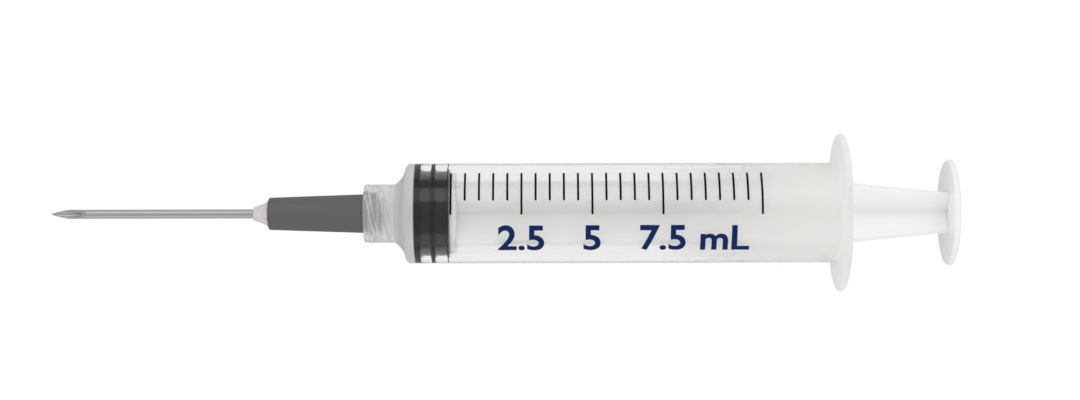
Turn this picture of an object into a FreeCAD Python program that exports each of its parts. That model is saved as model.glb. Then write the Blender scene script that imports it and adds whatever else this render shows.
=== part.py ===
# Luer lock syringe of the 10 mL size with its needle, in millimetres.
#
# The syringe lies on its side. Its axis runs along X, with the needle point towards -X and the
# thumb rest towards +X. +Z is up. The origin is under the middle of its length, at the height of
# the flat of the finger flange that it lies on.
#
# While it is modelled, x = 0 is the floor of the bore and the axis is the X axis. Every round
# piece is a half section, given as points (x, radius), turned about that axis.

import FreeCAD, Part
import math
import os

# Barrel tube
BORE_DIAMETER = 16.0
BARREL_WALL = 0.9
BARREL_DEPTH = 76.85  # floor of the bore to the open end
BORE_FLOOR_BEVEL = 0.3
MOUTH_CHAMFER = 0.4
BEAD_SETBACK = 3.2  # open end to the middle of the bead that keeps the plunger in
BEAD_LENGTH = 2.0
BEAD_HEIGHT = 0.25

# Finger flange
FLANGE_DIAMETER = 28.14
FLANGE_THICKNESS = 1.2
FLANGE_FLAT_DEPTH = 1.17  # how far each flat cuts into the round outline
FLANGE_CORNER_ROUND = 1.2
FLANGE_RIM_BEVEL = 0.35
FLANGE_ROOT_BEVEL = 0.45

# Shoulder, between the tube and the locking collar
FLOOR_THICKNESS = 2.85  # floor of the collar to floor of the bore
FLARE_LENGTH = 1.95  # along the axis, from the collar to the shoulder's edge
FLARE_DROP = 0.93  # shoulder's edge below the tube's outside
FLARE_SAG = 0.28  # how far the flare is hollowed from a straight cone
SHOULDER_CORNER_LENGTH = 0.7

# Locking collar and its double-start thread
COLLAR_DIAMETER = 10.4
COLLAR_DEPTH = 6.0
COLLAR_STRAIGHT = 5.45
COLLAR_EDGE_ROUND = 0.5
COLLAR_FLOOR_BEVEL = 0.2
COLLAR_MOUTH_CHAMFER = 0.3
THREAD_ROOT_DIAMETER = 8.0
THREAD_CREST_DIAMETER = 7.0
THREAD_STARTS = 2
THREAD_PITCH = 2.5
THREAD_BASE_WIDTH = 1.0
THREAD_CREST_WIDTH = 0.5
THREAD_SETBACK = 0.65  # collar's front to the middle of the ridge where it starts
THREAD_END_GAP = 0.75  # middle of the ridge where it ends to the collar's floor
THREAD_START_ANGLE = 124.0
RIDGE_ROOTING = 0.15  # how deep a ridge or lug is bedded in the wall that carries it

# Luer taper, 6 parts in 100 on the diameter
LUER_TAPER = 0.06
CONE_TIP_DIAMETER = 4.0
CONE_LENGTH = 8.0  # collar's floor to the tip
CONE_TIP_BEVEL = 0.15
CHANNEL_DIAMETER = 2.1
INLET_DIAMETER = 4.6
INLET_DEPTH = 0.9

# Gasket: three sealing ribs on a slimmer body, with a pocket for the rod's button
GASKET_END_GAP = 0.25  # floor of the bore to the gasket when the plunger is home
GASKET_BORE_CLEARANCE = 0.03
GASKET_WAIST_DIAMETER = 15.1
FRONT_RIB_WIDTH = 1.2
FRONT_WAIST_WIDTH = 1.7
MIDDLE_RIB_WIDTH = 0.9
REAR_WAIST_WIDTH = 2.0
REAR_RIB_WIDTH = 0.35
RIB_BEVEL = 0.12
GASKET_FACE_THICKNESS = 1.6
POCKET_DEPTH = 2.1
POCKET_CLEARANCE = 0.05

# Plunger rod
BUTTON_DIAMETER = 7.6
BUTTON_BEVEL = 0.5
NECK_DIAMETER = 5.0
ROD_DISC_THICKNESS = 1.2
ROD_DISC_DIAMETER = 14.4
ROD_DISC_BEVEL = 0.15
FIN_SPAN = 14.4
FIN_THICKNESS = 1.2
FIN_ROOT_ROUND = 0.5
FIN_TURN = 45.0  # the crossed fins stand diagonally when the syringe lies on its flange
STEM_SPAN_AT_THUMB = 9.2
STEM_TAPER_LENGTH = 19.2
ROD_REACH = 18.3  # open end of the barrel to the thumb rest, plunger home
THUMB_DIAMETER = 18.88
THUMB_THICKNESS = 1.15
THUMB_RIM_CROWN = 0.32  # how far the middle of the rim stands out past its edges
THUMB_GROOVE_RADII = (3.5, 6.0)
THUMB_GROOVE_WIDTH = 0.6
THUMB_GROOVE_DEPTH = 0.2

# Printed scale, half a millilitre from line to line
SCALE_STEP_VOLUME = 500.0
SCALE_STEPS = 22
SCALE_LONG_STEPS = (0, 5, 10, 15, 22)
SCALE_ZERO_SETBACK = 0.46  # rear of the gasket to the middle of the zero line
LINE_WIDTH = 0.38
LINE_TOP_ANGLE = 53.0  # from straight up, towards +Y
SHORT_LINE_END_ANGLE = 15.0
LONG_LINE_END_ANGLE = -1.0
INK_THICKNESS = 0.04

# Needle hub
HUB_ENGAGEMENT = 5.0  # of the luer cone in the hub's socket
LUER_CLEARANCE = 0.02
SOCKET_DEPTH = 9.0
SOCKET_MOUTH_BEVEL = 0.12
FUNNEL_LENGTH = 1.5
HUB_LENGTH = 20.2
HUB_NOSE_DIAMETER = 5.76
HUB_BASE_DIAMETER = 6.92
HUB_NOSE_ROUND = 0.75
HUB_BASE_GAP = 0.3  # hub's shoulder to the collar's front
HUB_BASE_BEVEL = 0.2
SKIRT_CLEARANCE = 0.2  # hub's skirt to the crest of the thread
LUG_DIAMETER = 7.76
LUG_BASE_WIDTH = 1.0
LUG_CREST_WIDTH = 0.6
LUG_SWEEP = 66.0
LUG_MOUTH_GAP = 0.1
LUG_CLEARANCE = 0.08  # lug's flank to the ridge that holds it
WELL_DEPTH = 3.0
WELL_MOUTH_DIAMETER = 3.7
WELL_FLOOR_DIAMETER = 2.6

# Cone of set adhesive round the needle tube
BOND_LENGTH = 2.6
BOND_FRONT_DIAMETER = 2.5
BOND_BASE_DIAMETER = 4.5
BOND_CLEARANCE = 0.03

# Needle tube, 16 gauge, with a lancet point
TUBE_DIAMETER = 1.65
TUBE_BORE = 1.19
TUBE_FREE_LENGTH = 36.5  # adhesive cone to the point
TUBE_SEAT_DEPTH = 9.25  # how far the tube runs into the hub from its nose
BEVEL_ANGLE = 13.7
LANCET_ANGLE = 17.0
LANCET_TURN = 45.0

# Radii
BORE_R = BORE_DIAMETER / 2
BARREL_R = BORE_R + BARREL_WALL
FLANGE_R = FLANGE_DIAMETER / 2
FLANGE_ACROSS_FLATS = FLANGE_DIAMETER - 2 * FLANGE_FLAT_DEPTH
COLLAR_R = COLLAR_DIAMETER / 2
THREAD_ROOT_R = THREAD_ROOT_DIAMETER / 2
THREAD_CREST_R = THREAD_CREST_DIAMETER / 2
SKIRT_R = THREAD_CREST_R - SKIRT_CLEARANCE
LUG_R = LUG_DIAMETER / 2
RIB_R = BORE_R - GASKET_BORE_CLEARANCE
WAIST_R = GASKET_WAIST_DIAMETER / 2
BUTTON_R = BUTTON_DIAMETER / 2
NECK_R = NECK_DIAMETER / 2
THUMB_R = THUMB_DIAMETER / 2
TUBE_R = TUBE_DIAMETER / 2

# Stations of the barrel along the axis
COLLAR_FLOOR_X = -FLOOR_THICKNESS
COLLAR_FRONT_X = COLLAR_FLOOR_X - COLLAR_DEPTH
CONE_TIP_X = COLLAR_FLOOR_X - CONE_LENGTH
FLARE_START_X = COLLAR_FRONT_X + COLLAR_STRAIGHT
FLARE_END_X = FLARE_START_X + FLARE_LENGTH
TUBE_START_X = FLARE_END_X + SHOULDER_CORNER_LENGTH
FLANGE_FRONT_X = BARREL_DEPTH - FLANGE_THICKNESS
THREAD_LEAD = THREAD_PITCH * THREAD_STARTS
THREAD_START_X = COLLAR_FRONT_X + THREAD_SETBACK
THREAD_END_X = COLLAR_FLOOR_X - THREAD_END_GAP

# Stations of the plunger
GASKET_FRONT_X = GASKET_END_GAP
MIDDLE_RIB_X = GASKET_FRONT_X + FRONT_RIB_WIDTH + FRONT_WAIST_WIDTH
REAR_RIB_X = MIDDLE_RIB_X + MIDDLE_RIB_WIDTH + REAR_WAIST_WIDTH
GASKET_REAR_X = REAR_RIB_X + REAR_RIB_WIDTH
POCKET_FRONT_X = GASKET_FRONT_X + GASKET_FACE_THICKNESS
POCKET_REAR_X = POCKET_FRONT_X + POCKET_DEPTH
ROD_DISC_X = GASKET_REAR_X + POCKET_CLEARANCE
FIN_START_X = ROD_DISC_X + ROD_DISC_THICKNESS
THUMB_FRONT_X = BARREL_DEPTH + ROD_REACH
THUMB_REAR_X = THUMB_FRONT_X + THUMB_THICKNESS

# Stations of the needle
HUB_MOUTH_X = CONE_TIP_X + HUB_ENGAGEMENT
HUB_NOSE_X = HUB_MOUTH_X - HUB_LENGTH
HUB_BASE_X = COLLAR_FRONT_X - HUB_BASE_GAP
SOCKET_FLOOR_X = HUB_MOUTH_X - SOCKET_DEPTH
WELL_FLOOR_X = HUB_NOSE_X + WELL_DEPTH
TUBE_REAR_X = HUB_NOSE_X + TUBE_SEAT_DEPTH
BOND_FRONT_X = HUB_NOSE_X - BOND_LENGTH
POINT_X = BOND_FRONT_X - TUBE_FREE_LENGTH

# Where the finished pieces go: middle of the length over the origin, lower flat at z = 0
TO_FRAME = FreeCAD.Vector(-(POINT_X + THUMB_REAR_X) / 2, 0, FLANGE_ACROSS_FLATS / 2)

ORIGIN = FreeCAD.Vector(0, 0, 0)
AXIS = FreeCAD.Vector(1, 0, 0)
LARGEST_SHARE_OF_EDGE = 0.45  # of the shorter edge beside it that a corner's round may take


def corner_arc(before, corner, after, radius):
    """Start, middle and end of the arc that rounds a corner, kept short of its neighbours."""
    to_before = (before - corner).normalize()
    to_after = (after - corner).normalize()
    half_angle = to_before.getAngle(to_after) / 2
    shorter = min(before.distanceToPoint(corner), after.distanceToPoint(corner))
    reach = min(radius / math.tan(half_angle), LARGEST_SHARE_OF_EDGE * shorter)
    fitted = reach * math.tan(half_angle)
    inwards = (to_before + to_after).normalize()
    middle = corner + inwards * (fitted / math.sin(half_angle) - fitted)
    return corner + to_before * reach, middle, corner + to_after * reach


def outline(points):
    """Closed wire through points (a, b), with a round where a point has a radius (a, b, r).

    A point (a, b, size, "bevel") is cut off straight, from where that round would start to where
    it would end. A point (a, b, "via") is the middle of an arc between the points beside it.
    """
    places = [FreeCAD.Vector(point[0], 0, point[1]) for point in points]
    extras = [point[2] if len(point) > 2 else 0 for point in points]
    count = len(points)
    arrivals, departures, edges = list(places), list(places), []
    for i in range(count):
        if extras[i] != "via" and extras[i] > 0:
            start, middle, end = corner_arc(places[i - 1], places[i], places[(i + 1) % count], extras[i])
            arrivals[i], departures[i] = start, end
            bevelled = points[i][-1] == "bevel"
            edge = Part.makeLine(start, end) if bevelled else Part.Arc(start, middle, end).toShape()
            edges.append((i, edge))
    for i in range(count):
        following = (i + 1) % count
        if extras[i] == "via":
            arc = Part.Arc(departures[i - 1], places[i], arrivals[following])
            edges.append((i + 0.5, arc.toShape()))
        elif extras[following] != "via":
            edges.append((i + 0.5, Part.makeLine(departures[i], arrivals[following])))
    edges.sort(key=lambda placed: placed[0])
    return Part.Wire([edge for _, edge in edges])


def turned(points):
    """Solid of revolution about the axis, from a half section of (x, radius) points."""
    return Part.Face(outline(points)).revolve(ORIGIN, AXIS, 360)


def luer_radius(x):
    """Radius of the male luer cone at station x."""
    return CONE_TIP_DIAMETER / 2 + LUER_TAPER / 2 * (x - CONE_TIP_X)


def helical_bar(base_r, crest_r, base_width, crest_width, start_x, start_angle, sweep):
    """Right-hand helical bar of trapezoid section with the thread's lead.

    Its middle starts at start_x, at start_angle about the axis from straight down, and turns
    through sweep degrees. The section runs from base_r, on the wall, to crest_r.
    """
    section = Part.makePolygon(
        [
            FreeCAD.Vector(base_r, 0, -base_width / 2),
            FreeCAD.Vector(base_r, 0, base_width / 2),
            FreeCAD.Vector(crest_r, 0, crest_width / 2),
            FreeCAD.Vector(crest_r, 0, -crest_width / 2),
            FreeCAD.Vector(base_r, 0, -base_width / 2),
        ]
    )
    path = Part.makeHelix(THREAD_LEAD, THREAD_LEAD * sweep / 360, (base_r + crest_r) / 2)
    bar = Part.Wire(path.Edges).makePipeShell([section], True, True)
    bar.rotate(ORIGIN, FreeCAD.Vector(0, 1, 0), 90)
    bar.rotate(ORIGIN, AXIS, start_angle)
    bar.translate(FreeCAD.Vector(start_x, 0, 0))
    return bar


def thread_angle_at(x):
    """Angle about the axis that the first ridge of the collar's thread has reached at station x."""
    return THREAD_START_ANGLE + 360 * (x - THREAD_START_X) / THREAD_LEAD


def thread_ridges():
    """The collar's ridges, evenly spaced round the axis and bedded in its wall."""
    # The flanks keep their slope down to the bedded root.
    slope = (THREAD_BASE_WIDTH - THREAD_CREST_WIDTH) / (THREAD_ROOT_R - THREAD_CREST_R)
    root_width = THREAD_BASE_WIDTH + slope * RIDGE_ROOTING
    sweep = 360 * (THREAD_END_X - THREAD_START_X) / THREAD_LEAD
    ridges = []
    for start in range(THREAD_STARTS):
        angle = THREAD_START_ANGLE + 360 * start / THREAD_STARTS
        ridges.append(
            helical_bar(
                THREAD_ROOT_R + RIDGE_ROOTING,
                THREAD_CREST_R,
                root_width,
                THREAD_CREST_WIDTH,
                THREAD_START_X,
                angle,
                sweep,
            )
        )
    return ridges


def finger_flange():
    """Round plate with two flats, so that the syringe does not roll, and bevelled rims."""
    front = FreeCAD.Vector(FLANGE_FRONT_X, 0, 0)
    plate = Part.makeCylinder(FLANGE_R, FLANGE_THICKNESS, front, AXIS)
    between_flats = Part.makeBox(
        FLANGE_THICKNESS,
        FLANGE_DIAMETER,
        FLANGE_ACROSS_FLATS,
        FreeCAD.Vector(FLANGE_FRONT_X, -FLANGE_R, -FLANGE_ACROSS_FLATS / 2),
    )
    plate = plate.common(between_flats)
    corners = [edge for edge in plate.Edges if abs(edge.tangentAt(edge.FirstParameter).x) > 0.99]
    plate = plate.makeFillet(FLANGE_CORNER_ROUND, corners)
    rims = [edge for face in plate.Faces if abs(face.normalAt(0, 0).x) > 0.99 for edge in face.Edges]
    plate = plate.makeChamfer(min(FLANGE_RIM_BEVEL, LARGEST_SHARE_OF_EDGE * FLANGE_THICKNESS), rims)
    return plate.cut(Part.makeCylinder(BARREL_R, FLANGE_THICKNESS, front, AXIS))


def barrel_body():
    """Tube, shoulder, collar and luer cone, as one turned form."""
    flare_middle_x = (FLARE_START_X + FLARE_END_X) / 2 + FLARE_SAG
    flare_middle_r = (COLLAR_R + BARREL_R - FLARE_DROP) / 2 - FLARE_SAG
    corner_middle_x = FLARE_END_X + SHOULDER_CORNER_LENGTH * 0.36
    corner_middle_r = BARREL_R - FLARE_DROP * 0.33
    bead_x = BARREL_DEPTH - BEAD_SETBACK
    return turned(
        [
            (CONE_TIP_X, CHANNEL_DIAMETER / 2),
            (CONE_TIP_X, luer_radius(CONE_TIP_X), CONE_TIP_BEVEL, "bevel"),
            (COLLAR_FLOOR_X, luer_radius(COLLAR_FLOOR_X), COLLAR_FLOOR_BEVEL, "bevel"),
            (COLLAR_FLOOR_X, THREAD_ROOT_R, COLLAR_FLOOR_BEVEL, "bevel"),
            (COLLAR_FRONT_X + COLLAR_MOUTH_CHAMFER, THREAD_ROOT_R),
            (COLLAR_FRONT_X, THREAD_ROOT_R + COLLAR_MOUTH_CHAMFER),
            (COLLAR_FRONT_X, COLLAR_R, COLLAR_EDGE_ROUND),
            (FLARE_START_X, COLLAR_R),
            (flare_middle_x, flare_middle_r, "via"),
            (FLARE_END_X, BARREL_R - FLARE_DROP),
            (corner_middle_x, corner_middle_r, "via"),
            (TUBE_START_X, BARREL_R),
            (FLANGE_FRONT_X - FLANGE_ROOT_BEVEL, BARREL_R),
            (FLANGE_FRONT_X, BARREL_R + FLANGE_ROOT_BEVEL),
            (BARREL_DEPTH, BARREL_R + FLANGE_ROOT_BEVEL),
            (BARREL_DEPTH, BORE_R + MOUTH_CHAMFER),
            (BARREL_DEPTH - MOUTH_CHAMFER, BORE_R),
            (bead_x + BEAD_LENGTH / 2, BORE_R),
            (bead_x, BORE_R - BEAD_HEIGHT),
            (bead_x - BEAD_LENGTH / 2, BORE_R),
            (0, BORE_R, BORE_FLOOR_BEVEL, "bevel"),
            (0, INLET_DIAMETER / 2),
            (-INLET_DEPTH, CHANNEL_DIAMETER / 2),
        ]
    )


def barrel():
    """The clear moulding: body, finger flange and the collar's thread."""
    return barrel_body().fuse([finger_flange()] + thread_ridges()).removeSplitter()


def gasket():
    """Rubber head of the plunger, with sealing ribs and the pocket that the button snaps into."""
    return turned(
        [
            (GASKET_FRONT_X, 0),
            (GASKET_FRONT_X, RIB_R, RIB_BEVEL, "bevel"),
            (GASKET_FRONT_X + FRONT_RIB_WIDTH, RIB_R, RIB_BEVEL, "bevel"),
            (GASKET_FRONT_X + FRONT_RIB_WIDTH, WAIST_R),
            (MIDDLE_RIB_X, WAIST_R),
            (MIDDLE_RIB_X, RIB_R, RIB_BEVEL, "bevel"),
            (MIDDLE_RIB_X + MIDDLE_RIB_WIDTH, RIB_R, RIB_BEVEL, "bevel"),
            (MIDDLE_RIB_X + MIDDLE_RIB_WIDTH, WAIST_R),
            (REAR_RIB_X, WAIST_R),
            (REAR_RIB_X, RIB_R, RIB_BEVEL, "bevel"),
            (GASKET_REAR_X, RIB_R, RIB_BEVEL, "bevel"),
            (GASKET_REAR_X, NECK_R + POCKET_CLEARANCE),
            (POCKET_REAR_X, NECK_R + POCKET_CLEARANCE),
            (POCKET_REAR_X, BUTTON_R + POCKET_CLEARANCE),
            (POCKET_FRONT_X, BUTTON_R + POCKET_CLEARANCE, BUTTON_BEVEL, "bevel"),
            (POCKET_FRONT_X, 0),
        ]
    )


def rod_head():
    """Button and neck that hold the gasket, and the disc that pushes it."""
    button_front_x = POCKET_FRONT_X + POCKET_CLEARANCE
    button_rear_x = POCKET_REAR_X - POCKET_CLEARANCE
    return turned(
        [
            (button_front_x, 0),
            (button_front_x, BUTTON_R, BUTTON_BEVEL, "bevel"),
            (button_rear_x, BUTTON_R),
            (button_rear_x, NECK_R),
            (ROD_DISC_X, NECK_R),
            (ROD_DISC_X, ROD_DISC_DIAMETER / 2, ROD_DISC_BEVEL, "bevel"),
            (FIN_START_X, ROD_DISC_DIAMETER / 2),
            (FIN_START_X, 0),
        ]
    )


def crossed_fins():
    """Four fins in a cross, full width in the barrel and tapered to the thumb rest."""
    half, reach = FIN_THICKNESS / 2, FIN_SPAN
    section = outline(
        [
            (half, half, FIN_ROOT_ROUND),
            (half, reach),
            (-half, reach),
            (-half, half, FIN_ROOT_ROUND),
            (-reach, half),
            (-reach, -half),
            (-half, -half, FIN_ROOT_ROUND),
            (-half, -reach),
            (half, -reach),
            (half, -half, FIN_ROOT_ROUND),
            (reach, -half),
            (reach, half),
        ]
    )
    # The section lies across Y, so the bar grows along Y and is then turned to lie along X.
    start_x, end_x = ROD_DISC_X + ROD_DISC_THICKNESS / 2, THUMB_FRONT_X + THUMB_THICKNESS / 2
    bar = Part.Face(section).extrude(FreeCAD.Vector(0, end_x - start_x, 0))
    bar.rotate(ORIGIN, FreeCAD.Vector(0, 0, 1), -90)
    bar.translate(FreeCAD.Vector(start_x, 0, 0))
    bar.rotate(ORIGIN, AXIS, FIN_TURN)
    envelope = turned(
        [
            (start_x, 0),
            (start_x, FIN_SPAN / 2),
            (THUMB_FRONT_X - STEM_TAPER_LENGTH, FIN_SPAN / 2),
            (THUMB_FRONT_X, STEM_SPAN_AT_THUMB / 2),
            (end_x, STEM_SPAN_AT_THUMB / 2),
            (end_x, 0),
        ]
    )
    return bar.common(envelope)


def thumb_rest():
    """Disc with a crowned rim and grip grooves in its rear face."""
    disc = turned(
        [
            (THUMB_FRONT_X, 0),
            (THUMB_FRONT_X, THUMB_R - THUMB_RIM_CROWN),
            ((THUMB_FRONT_X + THUMB_REAR_X) / 2, THUMB_R, "via"),
            (THUMB_REAR_X, THUMB_R - THUMB_RIM_CROWN),
            (THUMB_REAR_X, 0),
        ]
    )
    floor_x = THUMB_REAR_X - THUMB_GROOVE_DEPTH
    for radius in THUMB_GROOVE_RADII:
        inner, outer = radius - THUMB_GROOVE_WIDTH / 2, radius + THUMB_GROOVE_WIDTH / 2
        groove = turned(
            [
                (floor_x, inner),
                (floor_x, outer),
                (THUMB_REAR_X + THUMB_GROOVE_DEPTH, outer),
                (THUMB_REAR_X + THUMB_GROOVE_DEPTH, inner),
            ]
        )
        disc = disc.cut(groove)
    return disc


def plunger_rod():
    """The rod's one moulding, from button to thumb rest."""
    return rod_head().fuse([crossed_fins(), thumb_rest()]).removeSplitter()


def scale_line(step):
    """One printed line, a thin band of ink that follows the tube's outside."""
    pitch = SCALE_STEP_VOLUME / (math.pi * BORE_R**2)
    x = GASKET_REAR_X + SCALE_ZERO_SETBACK + step * pitch
    end_angle = LONG_LINE_END_ANGLE if step in SCALE_LONG_STEPS else SHORT_LINE_END_ANGLE
    section = Part.Face(
        outline(
            [
                (x - LINE_WIDTH / 2, BARREL_R),
                (x + LINE_WIDTH / 2, BARREL_R),
                (x + LINE_WIDTH / 2, BARREL_R + INK_THICKNESS),
                (x - LINE_WIDTH / 2, BARREL_R + INK_THICKNESS),
            ]
        )
    )
    section.rotate(ORIGIN, AXIS, -LINE_TOP_ANGLE)
    return section.revolve(ORIGIN, AXIS, LINE_TOP_ANGLE - end_angle)


def graduation_marks():
    """All lines of the scale, as separate solids."""
    return Part.makeCompound([scale_line(step) for step in range(SCALE_STEPS + 1)])


def hub_lugs():
    """The hub's locking lugs: short lengths of thread that run in the collar's grooves."""
    slope = (LUG_BASE_WIDTH - LUG_CREST_WIDTH) / (LUG_R - SKIRT_R)
    root_width = LUG_BASE_WIDTH + slope * RIDGE_ROOTING
    # How far a lug's middle stands behind the middle of the ridge that it bears on: the flanks
    # come nearest either at the ridge's crest or at the lug's crest.
    ridge_slope = (THREAD_BASE_WIDTH - THREAD_CREST_WIDTH) / (THREAD_ROOT_R - THREAD_CREST_R)
    at_ridge_crest = THREAD_CREST_WIDTH + LUG_BASE_WIDTH - slope * (THREAD_CREST_R - SKIRT_R)
    at_lug_crest = THREAD_CREST_WIDTH + ridge_slope * (LUG_R - THREAD_CREST_R) + LUG_CREST_WIDTH
    behind_ridge = max(at_ridge_crest, at_lug_crest) / 2 + LUG_CLEARANCE
    lug_length = THREAD_LEAD * LUG_SWEEP / 360
    start_x = HUB_MOUTH_X - LUG_MOUTH_GAP - root_width / 2 - lug_length
    first_angle = thread_angle_at(start_x - behind_ridge)
    lugs = []
    for start in range(THREAD_STARTS):
        angle = first_angle + 360 * start / THREAD_STARTS
        lugs.append(
            helical_bar(
                SKIRT_R - RIDGE_ROOTING, LUG_R, root_width, LUG_CREST_WIDTH, start_x, angle, LUG_SWEEP
            )
        )
    return lugs


def needle_hub():
    """Grey hub: luer socket and lugs at the rear, seat of the tube and adhesive well in front."""
    socket_mouth_r = luer_radius(HUB_MOUTH_X) + LUER_CLEARANCE
    socket_floor_r = luer_radius(SOCKET_FLOOR_X) + LUER_CLEARANCE
    body = turned(
        [
            (HUB_NOSE_X, WELL_MOUTH_DIAMETER / 2),
            (HUB_NOSE_X, HUB_NOSE_DIAMETER / 2, HUB_NOSE_ROUND),
            (HUB_BASE_X, HUB_BASE_DIAMETER / 2, HUB_BASE_BEVEL, "bevel"),
            (HUB_BASE_X, SKIRT_R),
            (HUB_MOUTH_X, SKIRT_R, SOCKET_MOUTH_BEVEL, "bevel"),
            (HUB_MOUTH_X, socket_mouth_r, SOCKET_MOUTH_BEVEL, "bevel"),
            (SOCKET_FLOOR_X, socket_floor_r),
            (SOCKET_FLOOR_X - FUNNEL_LENGTH, TUBE_BORE / 2),
            (TUBE_REAR_X, TUBE_BORE / 2),
            (TUBE_REAR_X, TUBE_R),
            (WELL_FLOOR_X, TUBE_R),
            (WELL_FLOOR_X, WELL_FLOOR_DIAMETER / 2),
        ]
    )
    return body.fuse(hub_lugs()).removeSplitter()


def needle_bond():
    """Adhesive: a clear cone in front of the hub, with a root in the hub's well."""
    bore_r = TUBE_R + BOND_CLEARANCE
    return turned(
        [
            (BOND_FRONT_X, bore_r),
            (BOND_FRONT_X, BOND_FRONT_DIAMETER / 2),
            (HUB_NOSE_X - BOND_CLEARANCE, BOND_BASE_DIAMETER / 2),
            (HUB_NOSE_X - BOND_CLEARANCE, WELL_MOUTH_DIAMETER / 2 - BOND_CLEARANCE),
            (WELL_FLOOR_X - BOND_CLEARANCE, WELL_FLOOR_DIAMETER / 2 - BOND_CLEARANCE),
            (WELL_FLOOR_X - BOND_CLEARANCE, bore_r),
        ]
    )


def ground_away(angle, turn):
    """What one grinding plane through the point takes off.

    The plane slopes at angle to the axis. It faces straight up, turned about the axis by turn.
    """
    size = 10 * TUBE_DIAMETER / math.tan(math.radians(BEVEL_ANGLE))
    block = Part.makeBox(size, size, size, FreeCAD.Vector(-size / 2, -size / 2, 0))
    block.rotate(ORIGIN, FreeCAD.Vector(0, 1, 0), -angle)
    block.rotate(ORIGIN, AXIS, turn)
    block.translate(FreeCAD.Vector(POINT_X, 0, -TUBE_R))
    return block


def cannula():
    """Steel tube with a bevel that faces up and two side grinds that meet at the point."""
    length = TUBE_REAR_X - POINT_X
    start = FreeCAD.Vector(POINT_X, 0, 0)
    tube = Part.makeCylinder(TUBE_R, length, start, AXIS)
    tube = tube.cut(Part.makeCylinder(TUBE_BORE / 2, length, start, AXIS))
    grinds = [
        ground_away(BEVEL_ANGLE, 0),
        ground_away(LANCET_ANGLE, LANCET_TURN),
        ground_away(LANCET_ANGLE, -LANCET_TURN),
    ]
    return tube.cut(grinds)


def main():
    """Builds every piece, moves it to the frame and writes it as parts/NAME.step."""
    os.makedirs("parts", exist_ok=True)
    pieces = {
        "barrel": barrel(),
        "graduation_marks": graduation_marks(),
        "gasket": gasket(),
        "plunger_rod": plunger_rod(),
        "needle_hub": needle_hub(),
        "needle_bond": needle_bond(),
        "cannula": cannula(),
    }
    for name, shape in pieces.items():
        shape.translate(TO_FRAME)
        shape.exportStep(f"parts/{name}.step")
        box = shape.BoundBox
        print(
            f"{name}: {len(shape.Solids)} solids, valid {shape.isValid()}, {shape.Volume:.2f} mm3,"
            f" x {box.XMin:.2f} to {box.XMax:.2f}, y {box.YMin:.2f} to {box.YMax:.2f},"
            f" z {box.ZMin:.2f} to {box.ZMax:.2f}"
        )


main()
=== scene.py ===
"""Looks of a 10 mL luer lock syringe with its needle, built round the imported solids.

The syringe lies along X with its needle point towards -X. Lengths in the classes are in
millimetres. A station is a distance along X from the floor of the barrel's bore, as in the
solids, and a radius is measured from the syringe's axis.
"""

import logging
import math
from dataclasses import dataclass
from enum import Enum

import bmesh
import bpy
import numpy as np
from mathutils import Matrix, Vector

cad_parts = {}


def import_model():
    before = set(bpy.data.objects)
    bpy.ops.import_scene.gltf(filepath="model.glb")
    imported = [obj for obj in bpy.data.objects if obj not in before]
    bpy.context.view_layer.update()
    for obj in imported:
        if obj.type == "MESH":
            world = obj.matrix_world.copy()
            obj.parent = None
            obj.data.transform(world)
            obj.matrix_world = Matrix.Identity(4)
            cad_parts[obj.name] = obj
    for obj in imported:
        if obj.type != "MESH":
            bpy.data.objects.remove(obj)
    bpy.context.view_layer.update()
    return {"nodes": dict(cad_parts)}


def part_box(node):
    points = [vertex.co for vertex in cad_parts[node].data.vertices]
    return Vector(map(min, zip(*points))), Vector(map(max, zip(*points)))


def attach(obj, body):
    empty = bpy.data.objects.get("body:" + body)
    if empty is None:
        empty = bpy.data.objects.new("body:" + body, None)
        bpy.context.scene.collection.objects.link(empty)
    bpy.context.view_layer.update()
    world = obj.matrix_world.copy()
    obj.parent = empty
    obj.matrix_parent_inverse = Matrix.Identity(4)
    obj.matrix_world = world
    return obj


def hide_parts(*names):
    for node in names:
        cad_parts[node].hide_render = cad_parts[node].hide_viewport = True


log = logging.getLogger("syringe")

MM = 0.001
# Two radii that differ by less than this many millimetres belong to the same wall.
SAME_WALL = 1e-3
# Points closer than the first, and edges shorter than the second, are merged away, in metres.
MERGED, DEGENERATE = 1e-7, 1e-8
# Most values of a noise texture lie between these two.
NOISE_SPREAD = (0.3, 0.7)

Pair = tuple[float, float]
Triple = tuple[float, float, float]
Mesh = bpy.types.Mesh
Piece = bpy.types.Object
Material = bpy.types.Material
Socket = bpy.types.NodeSocket


class Slot(Enum):
    """Material slots of the record that the pieces take their finish from."""

    BARREL = "barrel"
    INK = "ink"
    GASKET = "gasket"
    ROD = "rod"
    HUB = "hub"
    BOND = "bond"
    STEEL = "steel"


@dataclass(frozen=True)
class Datum:
    """Where station 0 and the syringe's axis lie in the frame, in millimetres."""

    station_zero: float
    axis_height: float

    def place(self, station: np.ndarray, radius: np.ndarray, turn: np.ndarray) -> np.ndarray:
        """Points at x = station, y = radius sin(turn), z = radius cos(turn), moved into the frame.

        Args:
            station: Distance along X from the floor of the bore, in millimetres.
            radius: Distance from the axis, in millimetres.
            turn: Angle about the axis from straight up towards +Y, in radians.

        Returns:
            The points in metres, as an array whose last axis holds x, y and z.
        """
        x = station + self.station_zero
        y = radius * np.sin(turn)
        z = radius * np.cos(turn) + self.axis_height
        return np.stack(np.broadcast_arrays(x, y, z), axis=-1) * MM


@dataclass(frozen=True)
class Corner:
    """A corner of a half section: its station, its radius and how large it is rounded."""

    station: float
    radius: float
    rounding: float = 0.0


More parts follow.
